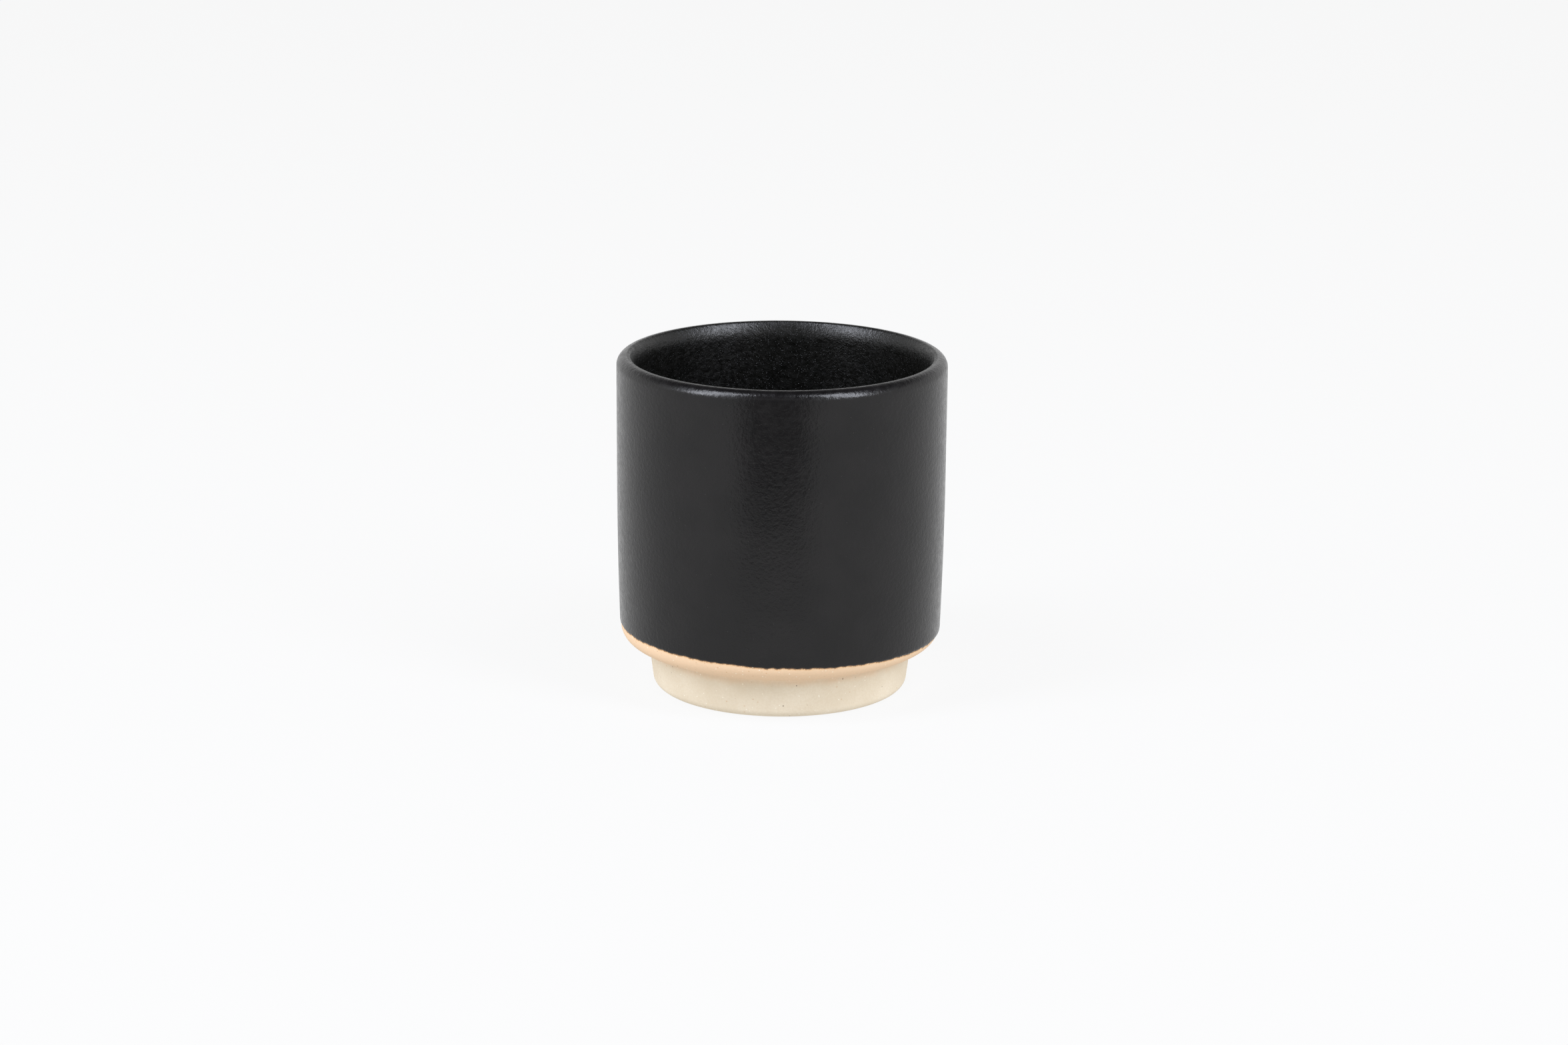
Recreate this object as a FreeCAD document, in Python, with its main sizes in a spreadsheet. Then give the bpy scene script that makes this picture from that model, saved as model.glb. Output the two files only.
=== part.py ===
"""An empty stoneware candle jar, modelled in FreeCAD, in millimetres.

The jar stands on z = 0 with its axis on +Z and its open mouth at the top.
It is one fired clay vessel with a narrower bare foot. A black glaze is fused
onto it in two coats: an outer coat that ends above the foot, and a liner.
The coats meet on the crest of the lip. All three are turned about the axis.
"""

import FreeCAD, Part
import math
import os

import Sketcher

# Driving dimensions. Radii and heights are those of the clay, under the glaze.
# A section's corners are stated as if they were sharp; its rounds are radii.
SIZES = {
    "height": 86.45,
    "rim_radius": 41.93,
    "wall_radius": 41.75,
    "flank_top": 38.0,
    "flank_round": 1200.0,
    "shoulder_radius": 41.0,
    "shoulder_height": 13.1,
    "shoulder_round": 4.2,
    "foot_height": 10.5,
    "foot_top_radius": 33.85,
    "foot_base_radius": 32.5,
    "foot_round": 2.4,
    "fold_round": 1.0,
    "recess_radius": 27.5,
    "recess_depth": 4.5,
    "recess_round": 1.6,
    "recess_lip_round": 1.2,
    "mouth_radius": 37.75,
    "throat_height": 84.28,
    "throat_round": 7.45,
    "floor_height": 12.5,
    "floor_round": 10.25,
    "lip_outer_round": 2.4,
    "lip_inner_radius": 39.06,
    "lip_inner_round": 0.76,
    "crest_radius": 39.51,
    "glaze": 0.25,
    "glaze_line": 16.1,
}

DRAWING_TOLERANCE = 1e-6


class Size:
    """A length from the sheet: its value, and the expression that binds it."""

    def __init__(self, value, expression):
        self.value = value
        self.expression = expression

    def __add__(self, other):
        return Size(self.value + other.value, f"({self.expression} + {other.expression})")

    def __sub__(self, other):
        return Size(self.value - other.value, f"({self.expression} - {other.expression})")

    def __mul__(self, other):
        return Size(self.value * other.value, f"({self.expression} * {other.expression})")

    def __truediv__(self, other):
        return Size(self.value / other.value, f"({self.expression} / {other.expression})")


ZERO = Size(0.0, "0")


def size(name):
    """A driving dimension by its name in the sheet."""
    return Size(SIZES[name], f"Sizes.{name}")


def make_sheet(doc):
    """Put every driving dimension in a spreadsheet cell of its own."""
    sheet = doc.addObject("Spreadsheet::Sheet", "Sizes")
    for row, (name, value) in enumerate(SIZES.items(), start=1):
        sheet.set(f"A{row}", name)
        sheet.set(f"B{row}", str(value))
        sheet.setAlias(f"B{row}", name)
    doc.recompute()


class Corner:
    """A corner of a half-section: its radius, its height and how it is rounded."""

    def __init__(self, radius, height, rounding=None):
        self.radius = radius
        self.height = height
        self.rounding = rounding
        self.point = FreeCAD.Vector(radius.value, height.value, 0)


def round_points(before, corner, after):
    """The start, middle and end of the arc that rounds a corner."""
    back = (before.point - corner.point).normalize()
    ahead = (after.point - corner.point).normalize()
    half_angle = back.getAngle(ahead) / 2
    bend = corner.rounding.value
    reach = bend / math.tan(half_angle)
    inward = (back + ahead).normalize()
    depth = bend / math.sin(half_angle) - bend
    start = corner.point + back * reach
    middle = corner.point + inward * depth
    end = corner.point + ahead * reach
    return start, middle, end


def origin_plane(body, role):
    """Find one of the body's own origin planes."""
    for feature in body.Origin.OriginFeatures:
        if feature.Role == role:
            return feature
    raise ValueError(f"{body.Label} has no {role}")


def dimension(sketch, index, length):
    """Bind one of the sketch's constraints to the sheet."""
    sketch.setExpression(f"Constraints[{index}]", length.expression)


def pin(sketch, kind, point, length, axis):
    """Hold one coordinate of a point, on an axis where the length is nothing."""
    if length is ZERO:
        sketch.addConstraint(Sketcher.Constraint("PointOnObject", point, 1, axis))
        return
    held = Sketcher.Constraint(kind, -1, 1, point, 1, length.value)
    dimension(sketch, sketch.addConstraint(held), length)


def draw_corner(sketch, corners, number):
    """Draw a corner as a construction point, with its arc if it is rounded.

    Gives the corner's point, its arc or None, and where the sides stop.
    """
    corner = corners[number]
    point = sketch.addGeometry(Part.Point(corner.point), True)
    horizontal_axis = -1
    vertical_axis = -2
    pin(sketch, "DistanceX", point, corner.radius, vertical_axis)
    pin(sketch, "DistanceY", point, corner.height, horizontal_axis)
    if corner.rounding is None:
        return point, None, corner.point, corner.point
    before = corners[number - 1]
    after = corners[(number + 1) % len(corners)]
    start, middle, end = round_points(before, corner, after)
    arc = sketch.addGeometry(Part.Arc(start, middle, end))
    held = Sketcher.Constraint("Radius", arc, corner.rounding.value)
    dimension(sketch, sketch.addConstraint(held), corner.rounding)
    return point, arc, start, end


def arc_ends(sketch, arc, start):
    """Which end of the arc lies at start: gives that end's number and the other's."""
    first = sketch.getPoint(arc, 1)
    if (first - start).Length < DRAWING_TOLERANCE:
        return 1, 2
    return 2, 1


def join(sketch, side, end, drawn, leaving):
    """Join one end of a side to the corner there: to its point or to its arc."""
    point, arc, start, _ = drawn
    if arc is None:
        sketch.addConstraint(Sketcher.Constraint("Coincident", side, end, point, 1))
        return
    near, far = arc_ends(sketch, arc, start)
    arc_end = far if leaving else near
    sketch.addConstraint(Sketcher.Constraint("Tangent", side, end, arc, arc_end))
    sketch.addConstraint(Sketcher.Constraint("PointOnObject", point, 1, side))


def draw_section(body, corners):
    """Draw the closed half-section on the XZ plane, to the right of the axis."""
    sketch = body.newObject("Sketcher::SketchObject", f"{body.Label}_section")
    sketch.AttachmentSupport = (origin_plane(body, "XZ_Plane"), "")
    sketch.MapMode = "FlatFace"
    drawn = [draw_corner(sketch, corners, number) for number in range(len(corners))]
    for number, here in enumerate(drawn):
        there = drawn[(number + 1) % len(drawn)]
        side = sketch.addGeometry(Part.LineSegment(here[3], there[2]))
        join(sketch, side, 1, here, leaving=True)
        join(sketch, side, 2, there, leaving=False)
    return sketch


def turned_body(doc, label, corners):
    """Make a body by turning a half-section once round the vertical axis."""
    body = doc.addObject("PartDesign::Body", label)
    body.Label = label
    sketch = draw_section(body, corners)
    doc.recompute()
    turned = body.newObject("PartDesign::Revolution", f"{label}_turned")
    turned.Profile = sketch
    turned.ReferenceAxis = (sketch, ["V_Axis"])
    turned.Angle = 360
    body.Tip = turned
    doc.recompute()
    return body


def wall_corners(coat):
    """The outside of the wall from the flank up to the lip, under or on the glaze."""
    flank_top = Corner(size("wall_radius") + coat, size("flank_top"), size("flank_round"))
    lip = Corner(
        size("rim_radius") + coat,
        size("height") + coat,
        size("lip_outer_round") + coat,
    )
    return [flank_top, lip]


def bowl_corners(coat):
    """The inside from the lip past the leaning throat to the floor, under or on the glaze."""
    lip = Corner(
        size("lip_inner_radius") - coat,
        size("height") + coat,
        size("lip_inner_round") + coat,
    )
    throat = Corner(
        size("mouth_radius") - coat,
        size("throat_height"),
        size("throat_round") + coat,
    )
    floor_edge = Corner(
        size("mouth_radius") - coat,
        size("floor_height") + coat,
        size("floor_round") - coat,
    )
    floor_centre = Corner(ZERO, size("floor_height") + coat)
    return [lip, throat, floor_edge, floor_centre]


def foot_corners():
    """The recess underneath, the foot ring and the sloping shoulder, all bare."""
    return [
        Corner(ZERO, size("recess_depth")),
        Corner(size("recess_radius"), size("recess_depth"), size("recess_round")),
        Corner(size("recess_radius"), ZERO, size("recess_lip_round")),
        Corner(size("foot_base_radius"), ZERO, size("foot_round")),
        Corner(size("foot_top_radius"), size("foot_height"), size("fold_round")),
        Corner(size("shoulder_radius"), size("shoulder_height"), size("shoulder_round")),
    ]


def flank_radius(height):
    """The clay's radius on the straight flank between shoulder and wall."""
    rise = size("flank_top") - size("shoulder_height")
    swell = size("wall_radius") - size("shoulder_radius")
    climbed = height - size("shoulder_height")
    return size("shoulder_radius") + swell * climbed / rise


def stoneware_body(doc):
    """The clay vessel."""
    corners = foot_corners() + wall_corners(ZERO) + bowl_corners(ZERO)
    return turned_body(doc, "stoneware_body", corners)


def outer_glaze(doc):
    """The coat from the glaze line up the outside to the crest of the lip."""
    coat = size("glaze")
    line = size("glaze_line")
    crest = size("crest_radius")
    edge = flank_radius(line)
    corners = [Corner(edge, line), Corner(edge + coat, line)]
    corners += wall_corners(coat)
    corners += [Corner(crest, size("height") + coat), Corner(crest, size("height"))]
    corners += reversed(wall_corners(ZERO))
    return turned_body(doc, "outer_glaze", corners)


def liner_glaze(doc):
    """The coat from the crest of the lip down the inside and over the floor."""
    coat = size("glaze")
    crest = size("crest_radius")
    corners = [Corner(crest, size("height")), Corner(crest, size("height") + coat)]
    corners += bowl_corners(coat)
    corners += reversed(bowl_corners(ZERO))
    return turned_body(doc, "liner_glaze", corners)


def check(doc, pieces):
    """Stop if any object failed or any sub-part is not one valid solid."""
    for item in doc.Objects:
        if "Invalid" in item.State or "Error" in item.State:
            raise RuntimeError(f"{item.Label} failed: {item.State}")
        if item.TypeId == "Sketcher::SketchObject" and not item.FullyConstrained:
            raise RuntimeError(f"{item.Label} is not fully constrained")
    for piece in pieces:
        shape = piece.Shape
        if shape.isNull() or not shape.isValid() or len(shape.Solids) != 1:
            raise RuntimeError(f"{piece.Label} is not one valid solid")


def export(pieces):
    """Write each sub-part to a STEP file named after it."""
    os.makedirs("parts", exist_ok=True)
    for piece in pieces:
        piece.Shape.exportStep(f"parts/{piece.Label}.step")
        box = piece.Shape.optimalBoundingBox()
        spans = f"{box.XLength:.2f} x {box.YLength:.2f} x {box.ZLength:.2f} mm"
        print(f"{piece.Label}: {spans}, {piece.Shape.Volume / 1000:.2f} cm3")


def main():
    doc = FreeCAD.newDocument("CandleJar")
    make_sheet(doc)
    pieces = [stoneware_body(doc), outer_glaze(doc), liner_glaze(doc)]
    check(doc, pieces)
    export(pieces)


main()
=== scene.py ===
"""The finished look of an empty stoneware candle jar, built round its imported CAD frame.

Three turned pieces stand for the three CAD nodes: the fired clay vessel, the black
coat outside and the black coat inside. Sections are in millimetres, meshes in metres.
"""

import math
import random

import bmesh
import bpy
import numpy as np
from mathutils import Matrix, Vector


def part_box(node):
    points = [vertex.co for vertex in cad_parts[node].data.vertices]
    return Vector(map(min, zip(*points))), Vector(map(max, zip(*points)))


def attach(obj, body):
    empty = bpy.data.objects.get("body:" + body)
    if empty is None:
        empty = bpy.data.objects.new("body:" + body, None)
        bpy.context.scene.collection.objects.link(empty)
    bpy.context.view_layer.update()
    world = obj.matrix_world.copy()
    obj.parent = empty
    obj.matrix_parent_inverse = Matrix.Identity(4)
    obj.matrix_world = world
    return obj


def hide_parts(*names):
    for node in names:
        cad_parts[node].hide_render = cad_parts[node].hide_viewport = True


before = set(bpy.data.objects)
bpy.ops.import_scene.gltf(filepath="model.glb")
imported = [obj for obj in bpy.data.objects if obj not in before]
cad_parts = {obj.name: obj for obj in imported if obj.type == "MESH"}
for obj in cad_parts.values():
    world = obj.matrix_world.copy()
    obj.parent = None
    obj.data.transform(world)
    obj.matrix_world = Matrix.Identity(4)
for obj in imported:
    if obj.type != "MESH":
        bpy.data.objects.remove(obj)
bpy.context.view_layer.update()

MM = 0.001

# The clay's section, under the glaze. A corner is stated as if it were sharp.
CAD_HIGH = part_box("outer_glaze")[1]
GLAZE = 0.25
HEIGHT = CAD_HIGH.z / MM - GLAZE
RIM_RADIUS = 41.93
WALL_RADIUS = 41.75
FLANK_TOP = 38.0
FLANK_ROUND = 1200.0
SHOULDER_RADIUS = 41.0
SHOULDER_HEIGHT = 13.1
SHOULDER_ROUND = 4.2
FOOT_HEIGHT = 10.5
FOOT_TOP_RADIUS = 33.85
FOOT_BASE_RADIUS = 32.5
FOOT_ROUND = 2.4
FOLD_ROUND = 1.0
RECESS_RADIUS = 27.5
RECESS_DEPTH = 4.5
RECESS_ROUND = 1.6
RECESS_LIP_ROUND = 1.2
MOUTH_RADIUS = 37.75
THROAT_HEIGHT = 84.28
THROAT_ROUND = 7.45
FLOOR_HEIGHT = 12.5
FLOOR_ROUND = 10.25
LIP_OUTER_ROUND = 2.4
LIP_INNER_RADIUS = 39.06
LIP_INNER_ROUND = 0.76
CREST_RADIUS = 39.51

# How finely a section is traced and turned, and what counts as touching axis or table.
ARC_STEP = math.radians(7)
SIDE_STEP = 1.6
COLUMNS = 540
ON_AXIS = 1e-6
ON_TABLE = 0.01

# The glaze line: its mean height, how it leans, and its ragged ripples.
LINE_HEIGHT = 15.75
LINE_LEAN_X = -1.03
LINE_LEAN_Y = -0.15
RIPPLES = ((4, 9, 0.05), (10, 24, 0.035), (30, 60, 0.028), (65, 130, 0.034))
RIPPLE_SEED = 11
RIPPLE_COUNT = 5
BEAD = 0.55
BEAD_ROWS = 9
BEAD_GAP = 0.3
FINE_STEP = 0.35
FINE_TOP = 3.0
FINE_GAP = 0.1
SUNK = 0.06
RAGGED_FADE = 7.0

# The bare clay's fine rows, and how many of a section's rows are kept out of sight.
BARE_STEP = 0.6
BARE_MARGIN = 1.5
BARE_BELOW_FOLD = 2.5
HIDDEN_KEEP = 3
REAR_KEEP = 2
FAR_FROM_GLAZE = -50.0

# The turned surface is a little out of true, always inwards of the CAD size.
TRUE_LOSS = 0.0009
TRUE_SWING = 0.0004

AZIMUTHS = np.linspace(0, 2 * math.pi, COLUMNS, endpoint=False)


class Section:
    """A traced half-section that knows its length, its points and its outward normals."""

    def __init__(self, corners):
        self.points = trace(corners)
        steps = np.linalg.norm(np.diff(self.points, axis=0), axis=1)
        self.stations = np.concatenate([[0.0], np.cumsum(steps)])
        slope = np.gradient(self.points, self.stations, axis=0)
        slope /= np.linalg.norm(slope, axis=1)[:, None]
        self.normals = np.stack([slope[:, 1], -slope[:, 0]], axis=1)

    def offset(self, station, depth):
        """Radius and height at a station, that far out along the normal."""
        place = [np.interp(station, self.stations, self.points[:, k]) for k in (0, 1)]
        lean = [np.interp(station, self.stations, self.normals[:, k]) for k in (0, 1)]
        return place[0] + lean[0] * depth, place[1] + lean[1] * depth

    def station_at_height(self, height):
        """The station on the rising outside, above the foot's edge, at a height."""
        start = np.flatnonzero(self.points[:, 1] < ON_TABLE)[-1]
        return np.interp(height, self.points[start:, 1], self.stations[start:])


def corner(radius, height, rounding=0.0):
    """A corner of a section: where it is, and how it is rounded."""
    return np.array([radius, height]), rounding


def arc(before, here, after, rounding):
    """Points round a corner, from one tangent point to the other."""
    back = (before - here) / np.linalg.norm(before - here)
    onward = (after - here) / np.linalg.norm(after - here)
    half = math.acos(np.clip(back @ onward, -1, 1)) / 2
    start = here + back * rounding / math.tan(half)
    middle = (back + onward) / np.linalg.norm(back + onward)
    centre = here + middle * rounding / math.sin(half)
    turn = math.pi - 2 * half
    left = onward[0] * back[1] - onward[1] * back[0] > 0
    count = max(3, math.ceil(turn / ARC_STEP), math.ceil(turn * rounding / SIDE_STEP))
    spoke = start - centre
    points = []
    for angle in np.linspace(0, turn if left else -turn, count + 1):
        cosine, sine = math.cos(angle), math.sin(angle)
        turned_spoke = (spoke[0] * cosine - spoke[1] * sine, spoke[0] * sine + spoke[1] * cosine)
        points.append(centre + turned_spoke)
    return points


def trace(corners):
    """Follow a list of corners, round by round, with the long sides divided."""
    ends = [corners[0][0]]
    for before, here, after in zip(corners, corners[1:], corners[2:]):
        if here[1]:
            ends += arc(before[0], here[0], after[0], here[1])
        else:
            ends.append(here[0])
    ends.append(corners[-1][0])
    points = [ends[0]]
    for first, last in zip(ends, ends[1:]):
        count = max(1, math.ceil(np.linalg.norm(last - first) / SIDE_STEP))
        points += [first + (last - first) * k / count for k in range(1, count + 1)]
    return np.array(points)


def outside_corners():
    """From the middle of the recess, under the foot and up the outside to the crest."""
    return [
        corner(0, RECESS_DEPTH),
        corner(RECESS_RADIUS, RECESS_DEPTH, RECESS_ROUND),
        corner(RECESS_RADIUS, 0, RECESS_LIP_ROUND),
        corner(FOOT_BASE_RADIUS, 0, FOOT_ROUND),
        corner(FOOT_TOP_RADIUS, FOOT_HEIGHT, FOLD_ROUND),
        corner(SHOULDER_RADIUS, SHOULDER_HEIGHT, SHOULDER_ROUND),
        corner(WALL_RADIUS, FLANK_TOP, FLANK_ROUND),
        corner(RIM_RADIUS, HEIGHT, LIP_OUTER_ROUND),
        corner(CREST_RADIUS, HEIGHT),
    ]


def inside_corners():
    """From the crest down the inside to the middle of the floor."""
    return [
        corner(CREST_RADIUS, HEIGHT),
        corner(LIP_INNER_RADIUS, HEIGHT, LIP_INNER_ROUND),
        corner(MOUTH_RADIUS, THROAT_HEIGHT, THROAT_ROUND),
        corner(MOUTH_RADIUS, FLOOR_HEIGHT, FLOOR_ROUND),
        corner(0, FLOOR_HEIGHT),
    ]


def ripples(generator, bands, count):
    """A seeded ripple round the axis: several sine waves from each band of wave counts."""
    total = np.zeros(COLUMNS)
    for low, high, size in bands:
        for _ in range(count):
            waves = generator.randint(low, high)
            total += size * np.sin(waves * AZIMUTHS + generator.uniform(0, 2 * math.pi))
    return total


def glaze_line():
    """The height of the outer coat's lower edge, for each azimuth."""
    lean = LINE_LEAN_X * np.cos(AZIMUTHS) + LINE_LEAN_Y * np.sin(AZIMUTHS)
    return LINE_HEIGHT + lean + ripples(random.Random(RIPPLE_SEED), RIPPLES, RIPPLE_COUNT)


def out_of_true(height):
    """How far the thrown wall runs in and out, as a share of its radius."""
    swing = np.sin(2 * AZIMUTHS + 0.05 * height) + 0.6 * np.sin(3 * AZIMUTHS - 0.11 * height + 1.3)
    ridges = 0.35 * np.sin(1.15 * height + AZIMUTHS + 0.6 * np.sin(2 * AZIMUTHS))
    return TRUE_SWING * (swing + ridges) / 2 - TRUE_LOSS


def turned(name, radius, height, closed):
    """A mesh from a grid of radii and heights: a row for each station, a column for each azimuth."""
    rows = radius.shape[0]
    grown = radius * (1 + out_of_true(height))
    places = np.stack([grown * np.cos(AZIMUTHS), grown * np.sin(AZIMUTHS), height], axis=-1) * MM
    is_pole = radius.max(axis=1) < ON_AXIS
    index = np.zeros((rows, COLUMNS), int)
    vertices = []
    for row in range(rows):
        kept = places[row, :1] if is_pole[row] else places[row]
        index[row] = len(vertices) + (0 if is_pole[row] else np.arange(COLUMNS))
        vertices.extend(kept.tolist())
    faces = []
    for row in range(rows if closed else rows - 1):
        above = (row + 1) % rows
        if is_pole[row] and is_pole[above]:
            continue
        for column in range(COLUMNS):
            beside = (column + 1) % COLUMNS
            loop = (index[row, column], index[row, beside], index[above, beside], index[above, column])
            faces.append(tuple(dict.fromkeys(int(v) for v in loop)))
    mesh = bpy.data.meshes.new(name)
    mesh.from_pydata(vertices, [], faces)
    square_up(mesh)
    piece = bpy.data.objects.new(name, mesh)
    bpy.context.scene.collection.objects.link(piece)
    return piece, index


def square_up(mesh):
    """Turn every face outwards and shade it smooth."""
    work = bmesh.new()
    work.from_mesh(mesh)
    bmesh.ops.recalc_face_normals(work, faces=work.faces)
    for face in work.faces:
        face.smooth = True
    work.to_mesh(mesh)
    work.free()


def keep_sharp(mesh, index, rows):
    """Keep the ring edges of some rows sharp, so that a coat's cut end doesn't tint its face."""
    wanted = set()
    for row in rows:
        for first, second in zip(index[row], np.roll(index[row], -1)):
            wanted.add(frozenset((int(first), int(second))))
    for edge in mesh.edges:
        if frozenset(edge.vertices) in wanted:
            edge.use_edge_sharp = True


def write_attribute(mesh, name, index, values):
    """Give every vertex a number for the materials to read."""
    flat = np.zeros(len(mesh.vertices), np.float32)
    flat[index.ravel()] = values.ravel()
    mesh.attributes.new(name, "FLOAT", "POINT").data.foreach_set("value", flat)


def thinned(stations, keep):
    """Every few stations, with both ends."""
    return np.unique(np.concatenate([stations[::keep], stations[-1:]]))


def vessel():
    """The fired clay: fine rows where it is bare, coarse ones under the coats."""
    outside = Section(outside_corners())
    inside = Section(inside_corners())
    line = outside.station_at_height(glaze_line())
    bare_top = line.max() + BARE_MARGIN
    bare = outside.stations[outside.stations < bare_top]
    band_start = outside.station_at_height(FOOT_HEIGHT - BARE_BELOW_FOLD)
    band = np.arange(band_start, bare_top, BARE_STEP)
    covered = thinned(outside.stations[outside.stations >= bare_top], HIDDEN_KEEP)
    up = np.unique(np.round(np.concatenate([bare, band, covered]), 3))
    down = thinned(inside.stations, HIDDEN_KEEP)[1:]
    up_grid = np.repeat(up[:, None], COLUMNS, axis=1)
    down_grid = np.repeat(down[:, None], COLUMNS, axis=1)
    lower, upper = outside.offset(up_grid, 0), inside.offset(down_grid, 0)
    radius = np.concatenate([lower[0], upper[0]])
    height = np.concatenate([lower[1], upper[1]])
    piece, index = turned("stoneware_vessel", radius, height, closed=False)
    gap = np.concatenate([line[None, :] - up_grid, np.full_like(down_grid, FAR_FROM_GLAZE)])
    write_attribute(piece.data, "below_glaze", index, gap)
    return piece


def outer_coat():
    """The black coat outside, from its ragged rounded edge up to the crest of the lip."""
    section = Section(outside_corners())
    line = section.station_at_height(glaze_line())
    nominal = float(line.mean())
    bead = BEAD * (1 - np.cos(np.linspace(0, math.pi / 2, BEAD_ROWS)))
    rise = np.concatenate([bead, np.arange(BEAD + BEAD_GAP, FINE_TOP, FINE_STEP)]) + nominal
    wall = section.stations[section.stations > nominal + FINE_TOP + FINE_GAP]
    front = np.concatenate([rise, wall])
    weight = np.clip(1 - (front - nominal) / RAGGED_FADE, 0, 1)[:, None]
    station = front[:, None] + weight * (line - nominal)[None, :]
    above = (front - nominal)[:, None] + 0 * station
    round_off = np.sqrt(1 - (1 - np.clip(above / BEAD, 0, 1)) ** 2)
    face = section.offset(station, (GLAZE + SUNK) * round_off - SUNK)
    rear = section.offset(station[BEAD_ROWS:][::-REAR_KEEP], -SUNK)
    radius, height = (np.concatenate([a, b]) for a, b in zip(face, rear))
    piece, index = turned("outer_glaze_coat", radius, height, closed=True)
    keep_sharp(piece.data, index, (len(front) - 1, len(front)))
    distance = np.concatenate([above, above[BEAD_ROWS:][::-REAR_KEEP]])
    write_attribute(piece.data, "above_edge", index, distance)
    return piece


def liner_coat():
    """The black coat inside, from the crest of the lip down over the floor."""
    section = Section(inside_corners())
    front = np.repeat(section.stations[:, None], COLUMNS, axis=1)
    rear = np.repeat(thinned(section.stations, REAR_KEEP)[::-1, None], COLUMNS, axis=1)
    face = section.offset(front, GLAZE)
    back = section.offset(rear, -SUNK)
    for radius, _ in (face, back):
        radius[np.isclose(radius, 0, atol=ON_AXIS)] = 0
    radius, height = (np.concatenate([a, b]) for a, b in zip(face, back))
    piece, index = turned("liner_glaze_coat", radius, height, closed=True)
    keep_sharp(piece.data, index, (0, len(index) - 1))
    return piece


class Paint:
    """A material's node tree, with short ways to add what these materials are made of."""

    def __init__(self, name):
        self.material = bpy.data.materials.new(name)
        self.material.use_nodes = True
        self.tree = self.material.node_tree
        self.shader = self.tree.nodes["Principled BSDF"]
        place = self.tree.nodes.new("ShaderNodeTexCoord")
        self.place = self.in_millimetres(place.outputs["Object"])

    def plug(self, source, socket):
        """Link an output to an input, or set a plain value there."""
        if isinstance(source, bpy.types.NodeSocket):
            self.tree.links.new(source, socket)
        else:
            socket.default_value = source

    def in_millimetres(self, vector):
        """A place in metres, scaled to millimetres."""
        node = self.tree.nodes.new("ShaderNodeVectorMath")
        node.operation = "SCALE"
        self.plug(vector, node.inputs[0])
        node.inputs["Scale"].default_value = 1 / MM
        return node.outputs[0]

    def math(self, operation, first, second=0.0):
        """One sum on two numbers."""
        node = self.tree.nodes.new("ShaderNodeMath")
        node.operation = operation
        self.plug(first, node.inputs[0])
        self.plug(second, node.inputs[1])
        return node.outputs[0]

    def attribute(self, name):
        """A number that the mesh carries."""
        node = self.tree.nodes.new("ShaderNodeAttribute")
        node.attribute_name = name
        return node.outputs["Fac"]

    def height(self):
        """The height above the table, in millimetres."""
        node = self.tree.nodes.new("ShaderNodeSeparateXYZ")
        self.plug(self.place, node.inputs[0])
        return node.outputs["Z"]

    def noise(self, per_mm, detail=2.0, shift=0.0):
        """Soft noise with that many waves to the millimetre."""
        node = self.tree.nodes.new("ShaderNodeTexNoise")
        node.noise_dimensions = "4D"
        node.inputs["Scale"].default_value = per_mm
        node.inputs["Detail"].default_value = detail
        node.inputs["W"].default_value = shift
        self.plug(self.place, node.inputs["Vector"])
        return node.outputs["Fac"]

    def grains(self, per_mm, size, share, shift=0.0):
        """Small separate grains, 1 inside a grain and 0 outside: share of the cells hold one."""
        shifted = self.tree.nodes.new("ShaderNodeVectorMath")
        shifted.operation = "ADD"
        self.plug(self.place, shifted.inputs[0])
        shifted.inputs[1].default_value = (shift, 2 * shift, 3 * shift)
        cell = self.tree.nodes.new("ShaderNodeTexVoronoi")
        cell.inputs["Scale"].default_value = per_mm
        self.plug(shifted.outputs[0], cell.inputs["Vector"])
        lot = self.tree.nodes.new("ShaderNodeSeparateColor")
        self.plug(cell.outputs["Color"], lot.inputs[0])
        inside = self.ramp(cell.outputs["Distance"], size, size * 0.45)
        chosen = self.ramp(lot.outputs["Red"], 1 - share, 1 - share * 0.6)
        return self.math("MULTIPLY", inside, chosen)

    def ramp(self, value, low, high, to_low=0.0, to_high=1.0):
        """A smooth step from one value to another."""
        node = self.tree.nodes.new("ShaderNodeMapRange")
        node.interpolation_type = "SMOOTHSTEP"
        self.plug(value, node.inputs["Value"])
        ends = {"From Min": low, "From Max": high, "To Min": to_low, "To Max": to_high}
        for name, number in ends.items():
            node.inputs[name].default_value = number
        return node.outputs["Result"]

    def mix(self, factor, first, second):
        """A colour between two others."""
        node = self.tree.nodes.new("ShaderNodeMix")
        node.data_type = "RGBA"
        self.plug(factor, node.inputs["Factor"])
        # The colour sockets share their names with others, so they go by number.
        self.plug(first, node.inputs[6])
        self.plug(second, node.inputs[7])
        return node.outputs[2]

    def bump(self, height, depth, under=None):
        """Relief of that depth in millimetres, over another relief."""
        node = self.tree.nodes.new("ShaderNodeBump")
        node.inputs["Strength"].default_value = 1.0
        node.inputs["Distance"].default_value = depth * MM
        self.plug(height, node.inputs["Height"])
        if under is not None:
            self.plug(under, node.inputs["Normal"])
        return node.outputs["Normal"]


def tint(red, green, blue):
    """A colour with full opacity."""
    return (red, green, blue, 1.0)


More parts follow.
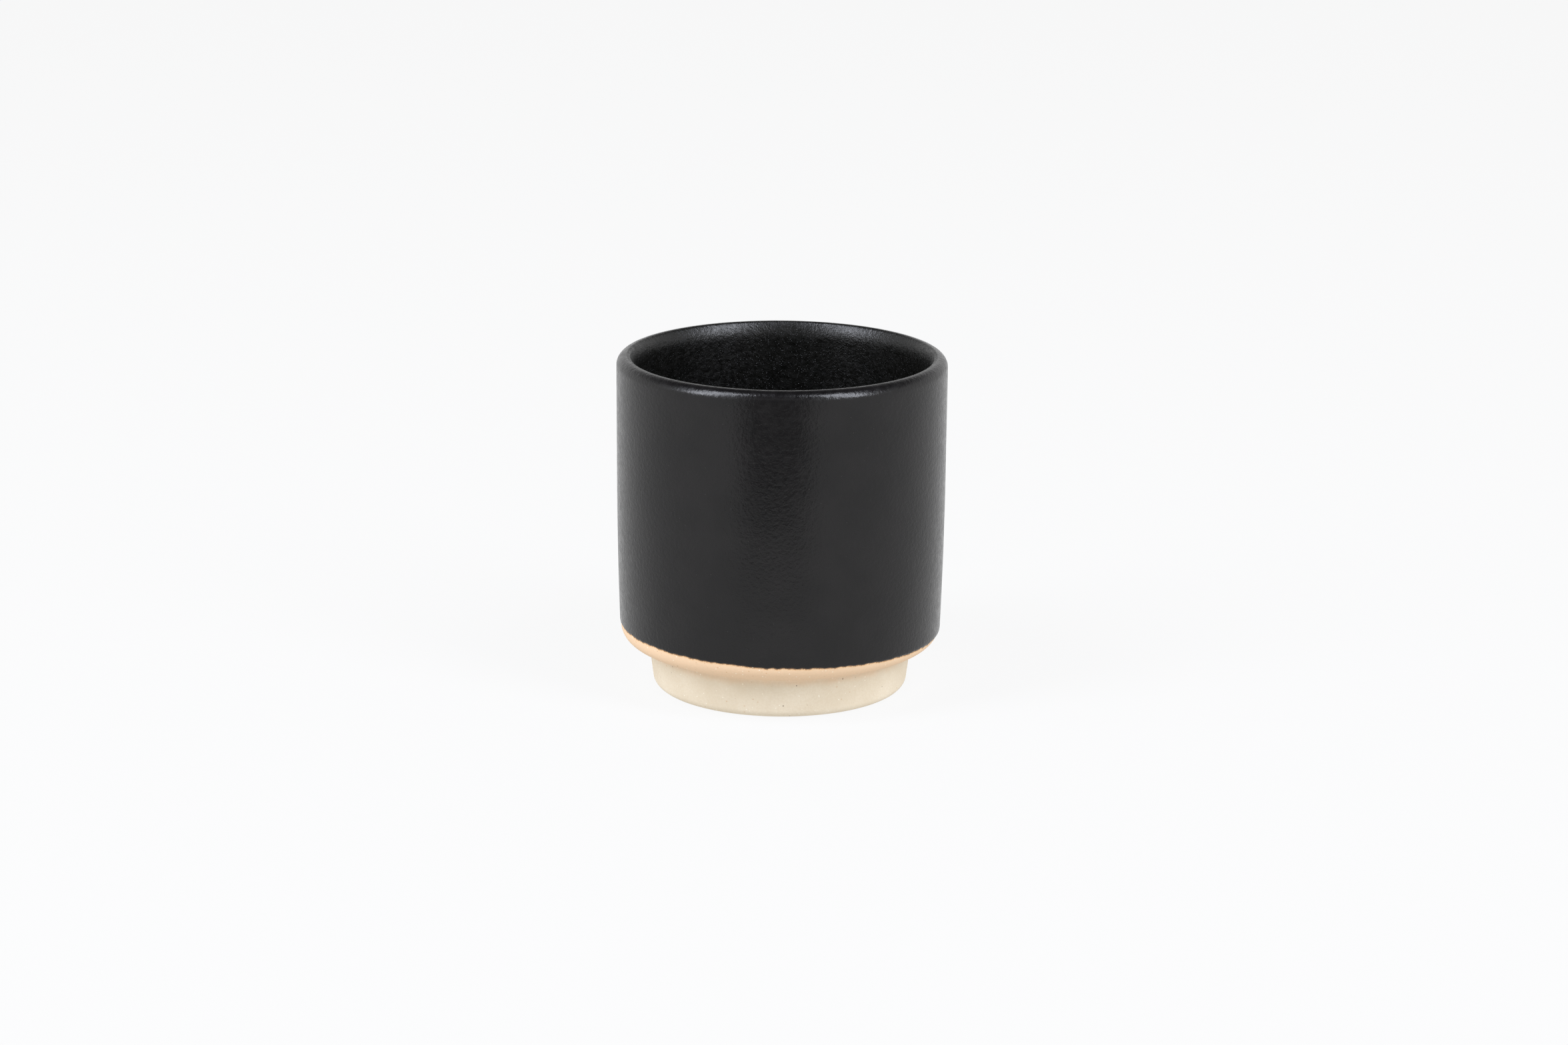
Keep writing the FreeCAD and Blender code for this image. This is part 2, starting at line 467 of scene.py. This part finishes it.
def satin_glaze():
    """Black satin glaze: nearly no colour of its own, finely pebbled, brown where it runs thin, with a
    faint light speckle that is partly painted glint.
    """
    paint = Paint("satin_glaze")
    cloud = paint.ramp(paint.noise(0.09, 4.0), 0.35, 0.65)
    colour = paint.mix(cloud, tint(0.0034, 0.0031, 0.0033), tint(0.0056, 0.0050, 0.0052))
    # Light speckle in the colour: partly the glaze's own crystal grains, partly painted glint standing
    # in for sparkle off the lamps.
    specks_and_painted_glints = paint.grains(1.4, 0.15, 0.05, 3.0)
    colour = paint.mix(specks_and_painted_glints, colour, tint(0.035, 0.034, 0.033))
    wander = paint.ramp(paint.noise(1.6, 3.0), 0.3, 0.7, -0.12, 0.12)
    ragged = paint.math("ADD", paint.attribute("above_edge"), wander)
    thin = paint.ramp(ragged, 0.02, 0.26, 1.0, 0.0)
    colour = paint.mix(thin, colour, tint(0.060, 0.026, 0.012))
    paint.plug(colour, paint.shader.inputs["Base Color"])
    gloss = paint.ramp(paint.noise(0.7, 5.0, 4.0), 0.3, 0.7, 0.20, 0.31)
    paint.plug(gloss, paint.shader.inputs["Roughness"])
    relief = paint.bump(paint.noise(1.1, 2.0, 7.0), 0.080)
    relief = paint.bump(paint.noise(2.4, 3.0, 2.0), 0.040, relief)
    paint.plug(relief, paint.shader.inputs["Normal"])
    paint.shader.inputs["IOR"].default_value = 1.39
    return paint.material


def liner_glaze():
    """The darker coat inside, with a fine crystal grain in relief whose pale bluish colour is partly
    painted glint.
    """
    paint = Paint("liner_glaze")
    cloud = paint.ramp(paint.noise(0.10, 4.0, 5.0), 0.35, 0.65)
    colour = paint.mix(cloud, tint(0.0010, 0.0010, 0.0007), tint(0.0022, 0.0021, 0.0016))
    # Crystal grains: their relief glints under the lamps; the pale bluish colour given to them below
    # is partly their own, partly painted glint.
    crystals_and_painted_glints = paint.grains(2.6, 0.34, 0.30, 9.0)
    colour = paint.mix(crystals_and_painted_glints, colour, tint(0.026, 0.028, 0.031))
    paint.plug(colour, paint.shader.inputs["Base Color"])
    gloss = paint.ramp(paint.noise(0.9, 5.0, 4.0), 0.3, 0.7, 0.30, 0.44)
    paint.plug(gloss, paint.shader.inputs["Roughness"])
    relief = paint.bump(paint.noise(1.0, 2.0, 3.0), 0.130)
    relief = paint.bump(paint.noise(2.6, 2.0, 8.0), 0.080, relief)
    relief = paint.bump(crystals_and_painted_glints, 0.080, relief)
    paint.plug(relief, paint.shader.inputs["Normal"])
    paint.shader.inputs["IOR"].default_value = 1.45
    return paint.material


def bare_clay():
    """Buff stoneware: cream on the foot, flashed tan under the shoulder, orange at the glaze."""
    paint = Paint("bare_clay")
    wander = paint.ramp(paint.noise(0.35, 3.0), 0.3, 0.7, -0.35, 0.35)
    cloud = paint.ramp(paint.noise(0.12, 4.0, 2.0), 0.3, 0.7)
    cream = paint.mix(cloud, tint(0.64, 0.555, 0.425), tint(0.70, 0.62, 0.49))
    level = paint.math("ADD", paint.height(), wander)
    flashed = paint.ramp(level, FOOT_HEIGHT - 2.6, FOOT_HEIGHT + 1.2)
    colour = paint.mix(flashed, cream, tint(0.72, 0.515, 0.34))
    ragged = paint.ramp(paint.noise(1.8, 3.0, 6.0), 0.3, 0.7, -0.12, 0.12)
    gap = paint.math("ADD", paint.attribute("below_glaze"), ragged)
    halo = paint.ramp(gap, 0.05, 0.75, 0.7, 0.0)
    colour = paint.mix(halo, colour, tint(0.72, 0.43, 0.19))
    burnt = paint.ramp(gap, 0.05, 0.32, 0.85, 0.0)
    colour = paint.mix(burnt, colour, tint(0.16, 0.07, 0.03))
    grain = paint.ramp(paint.noise(1.9, 4.0, 1.0), 0.3, 0.7, 0.0, 0.24)
    colour = paint.mix(grain, colour, tint(0.58, 0.47, 0.31))
    pale = paint.grains(1.2, 0.26, 0.20, 5.0)
    colour = paint.mix(paint.math("MULTIPLY", pale, 0.55), colour, tint(0.90, 0.86, 0.76))
    rust = paint.grains(0.9, 0.24, 0.13, 1.0)
    colour = paint.mix(paint.math("MULTIPLY", rust, 0.45), colour, tint(0.50, 0.27, 0.12))
    dark = paint.grains(0.6, 0.15, 0.09, 4.0)
    colour = paint.mix(paint.math("MULTIPLY", dark, 0.75), colour, tint(0.16, 0.11, 0.07))
    paint.plug(colour, paint.shader.inputs["Base Color"])
    paint.plug(paint.ramp(grain, 0, 0.24, 0.78, 0.92), paint.shader.inputs["Roughness"])
    pits = paint.grains(1.0, 0.14, 0.10, 7.0)
    relief = paint.bump(paint.noise(2.2, 4.0, 3.0), 0.045)
    relief = paint.bump(paint.math("MULTIPLY", pits, -1.0), 0.10, relief)
    paint.plug(relief, paint.shader.inputs["Normal"])
    paint.shader.inputs["Specular IOR Level"].default_value = 0.25
    return paint.material


def finish_piece(piece, material, node):
    """Paint a piece, let it ride with the jar and stand for its CAD node."""
    piece.data.materials.append(material)
    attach(piece, "root")
    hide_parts(node)


# The studio: distances in metres, directions as degrees round from the camera's side.
ORBIT_CENTRE = Vector((0, 0, 0.045))
AIM = Vector((0.0008, 0, 0.0424))
VIEW_DISTANCE = 1.056
VIEW_ELEVATION = math.radians(15.16)
VIEW_ROLL = math.radians(0.48)
LENS = 94.44
FLOOR_RADIUS = 8.0
FLOOR_GLOW = 0.905
FLOOR_TINT = 0.04
FLOOR_SIDES = 96
FLAG_GLOW = 0.16
FLAG_LEFT = math.radians(-26)
FLAG_RIGHT = math.radians(18)
FLAG_NEAR = 0.24
FLAG_FAR = 1.8
FLAG_TALL = 0.9
FLAG_LIFT = 0.002
LAMP_DISTANCE = 1.5
LAMP_ELEVATION = math.radians(44)
LAMP_WIDTH = 0.45
LAMP_HEIGHT = 1.3
LAMP_COLOUR = (0.88, 0.91, 1.0)
LAMPS = (("softbox_left", -60, 28), ("softbox_right", 52, 26))
WALL_GLOW = 0.93
WALL_TOP = math.radians(15)
CEILING_GLOW = 0.03
CEILING_START = math.radians(50)


def direction(azimuth, elevation):
    """A unit vector: azimuth 0 is the camera's side, and positive is to its right."""
    level = math.cos(elevation)
    return Vector((math.sin(azimuth) * level, -math.cos(azimuth) * level, math.sin(elevation)))


def camera():
    """The camera, a long lens looking slightly down at the jar."""
    data = bpy.data.cameras.new("camera")
    data.lens = LENS
    data.clip_end = 100
    viewer = bpy.data.objects.new("camera", data)
    viewer.location = ORBIT_CENTRE + direction(0, VIEW_ELEVATION) * VIEW_DISTANCE
    turn = (AIM - viewer.location).to_track_quat("-Z", "Y").to_matrix().to_4x4()
    roll = Matrix.Rotation(VIEW_ROLL, 4, "Z")
    viewer.matrix_world = Matrix.Translation(viewer.location) @ turn @ roll
    bpy.context.scene.collection.objects.link(viewer)
    bpy.context.scene.camera = viewer


def glow(name, strength, diffuse=0.0):
    """A plain surface that gives off its own even light."""
    material = bpy.data.materials.new(name)
    material.use_nodes = True
    surface = material.node_tree.nodes["Principled BSDF"].inputs
    surface["Base Color"].default_value = tint(diffuse, diffuse, diffuse)
    surface["Roughness"].default_value = 1.0
    surface["Specular IOR Level"].default_value = 0.0
    surface["Emission Color"].default_value = tint(1.0, 1.0, 1.0)
    surface["Emission Strength"].default_value = strength
    return material


def card(name, corners, material):
    """A flat polygon that is part of the studio."""
    mesh = bpy.data.meshes.new(name)
    mesh.from_pydata([tuple(point) for point in corners], [], [tuple(range(len(corners)))])
    mesh.materials.append(material)
    board = bpy.data.objects.new(name, mesh)
    bpy.context.scene.collection.objects.link(board)
    return board


def floor():
    """A wide pale floor, evenly lit from within like a light table."""
    turns = [2 * math.pi * k / FLOOR_SIDES for k in range(FLOOR_SIDES)]
    rim = [(FLOOR_RADIUS * math.cos(a), FLOOR_RADIUS * math.sin(a), 0) for a in turns]
    card("floor", rim, glow("floor", FLOOR_GLOW, FLOOR_TINT))


def flags():
    """Dark cards in front of the jar, which only its gloss can see."""
    dark = glow("flag", FLAG_GLOW)
    left = direction(FLAG_LEFT, 0)
    right = direction(FLAG_RIGHT, 0)
    lift = Vector((0, 0, FLAG_LIFT))
    tall = Vector((0, 0, FLAG_TALL))
    reach = [left * FLAG_NEAR, left * FLAG_FAR, right * FLAG_FAR, right * FLAG_NEAR]
    flat = card("flag_floor", [point + lift for point in reach], dark)
    foot_left = left * FLAG_FAR
    foot_right = right * FLAG_FAR
    upright = card("flag_front", [foot_left, foot_right, foot_right + tall, foot_left + tall], dark)
    for board in (flat, upright):
        board.visible_camera = False
        board.visible_diffuse = False
        board.visible_shadow = False


def softbox(name, azimuth, power):
    """A soft lamp that faces the jar."""
    data = bpy.data.lights.new(name, "AREA")
    data.shape = "RECTANGLE"
    data.size = LAMP_WIDTH
    data.size_y = LAMP_HEIGHT
    data.energy = power
    data.color = LAMP_COLOUR
    lamp = bpy.data.objects.new(name, data)
    lamp.location = ORBIT_CENTRE + direction(math.radians(azimuth), LAMP_ELEVATION) * LAMP_DISTANCE
    lamp.rotation_euler = (ORBIT_CENTRE - lamp.location).to_track_quat("-Z", "Y").to_euler()
    lamp.visible_camera = False
    bpy.context.scene.collection.objects.link(lamp)


def surroundings():
    """White walls all round that fade into a dim ceiling."""
    world = bpy.data.worlds.new("studio")
    world.use_nodes = True
    tree = world.node_tree
    place = tree.nodes.new("ShaderNodeTexCoord")
    split = tree.nodes.new("ShaderNodeSeparateXYZ")
    fade = tree.nodes.new("ShaderNodeMapRange")
    fade.interpolation_type = "SMOOTHSTEP"
    fade.inputs["From Min"].default_value = math.sin(WALL_TOP)
    fade.inputs["From Max"].default_value = math.sin(CEILING_START)
    fade.inputs["To Min"].default_value = WALL_GLOW
    fade.inputs["To Max"].default_value = CEILING_GLOW
    tree.links.new(place.outputs["Generated"], split.inputs[0])
    tree.links.new(split.outputs["Z"], fade.inputs["Value"])
    tree.links.new(fade.outputs["Result"], tree.nodes["Background"].inputs["Strength"])
    tree.nodes["Background"].inputs["Color"].default_value = tint(1.0, 1.0, 1.0)
    bpy.context.scene.world = world


def studio():
    """Camera, floor, dark cards, walls and lamps."""
    bpy.context.scene.view_settings.view_transform = "Standard"
    camera()
    floor()
    flags()
    surroundings()
    for name, azimuth, power in LAMPS:
        softbox(name, azimuth, power)


studio()
finish_piece(vessel(), bare_clay(), "stoneware_body")
finish_piece(outer_coat(), satin_glaze(), "outer_glaze")
finish_piece(liner_coat(), liner_glaze(), "liner_glaze")
